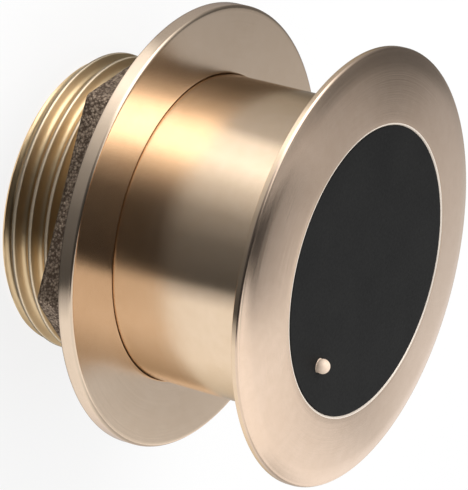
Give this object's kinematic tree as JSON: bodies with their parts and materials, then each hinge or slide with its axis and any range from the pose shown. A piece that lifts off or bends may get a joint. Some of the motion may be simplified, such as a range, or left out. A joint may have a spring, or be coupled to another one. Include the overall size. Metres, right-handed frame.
{
  "type": "sonar transducer",
  "caption": "Bronze through-hull sonar transducer with a domed head, black acoustic face, threaded stem and flanged hull nut.",
  "frame": {"origin": "centre of the stem's end, on the housing's axis, which is the middle of the bounding box's base", "axes": "+Z along the housing's axis from the stem's end to the sonar face; -Y towards the temperature stud in the face"},
  "size_m": [0.0812, 0.0812, 0.0618],
  "materials": {
    "bronze_machined": "lathe-turned satin bronze",
    "bronze_nut": "turned satin bronze flange, sand-cast hexagon",
    "black_urethane": "smooth matt black cast urethane",
    "bronze_stud": "bright turned bronze",
    "piezo_ceramic": "unglazed fired ceramic",
    "cork": "fine pressed cork",
    "silvered_brass": "tinned brass",
    "lead_red": "extruded insulation",
    "lead_black": "extruded insulation",
    "lead_white": "extruded insulation",
    "bead_epoxy": "dipped epoxy",
    "board_green": "solder-masked laminate",
    "chip_black": "moulded epoxy",
    "ferrite": "sintered ferrite",
    "enamel_copper": "enamelled copper winding",
    "potting_epoxy": "poured potting compound",
    "gland_nylon": "moulded nylon",
    "grommet_rubber": "moulded rubber"
  },
  "bodies": {
    "root": {"housing": "bronze_machined", "hull_nut": "bronze_nut", "acoustic_window": "black_urethane", "temperature_stud": "bronze_stud", "piezo_element": "piezo_ceramic", "backing_pad": "cork", "isolation_cup": "cork", "front_contact_strip": "silvered_brass", "rear_contact_pin": "silvered_brass", "terminal_front": "silvered_brass", "terminal_rear": "silvered_brass", "terminal_sensor_a": "silvered_brass", "terminal_sensor_b": "silvered_brass", "gland_washer": "silvered_brass", "element_lead_front": "lead_red", "element_lead_rear": "lead_black", "thermistor_lead_a": "lead_white", "thermistor_lead_b": "lead_white", "thermistor_bead": "bead_epoxy", "circuit_board": "board_green", "id_chip": "chip_black", "transformer_core": "ferrite", "transformer_winding": "enamel_copper", "potting_plug": "potting_epoxy", "gland_body": "gland_nylon", "gland_nut": "gland_nylon", "gland_grommet": "grommet_rubber"}
  },
  "joints": []
}
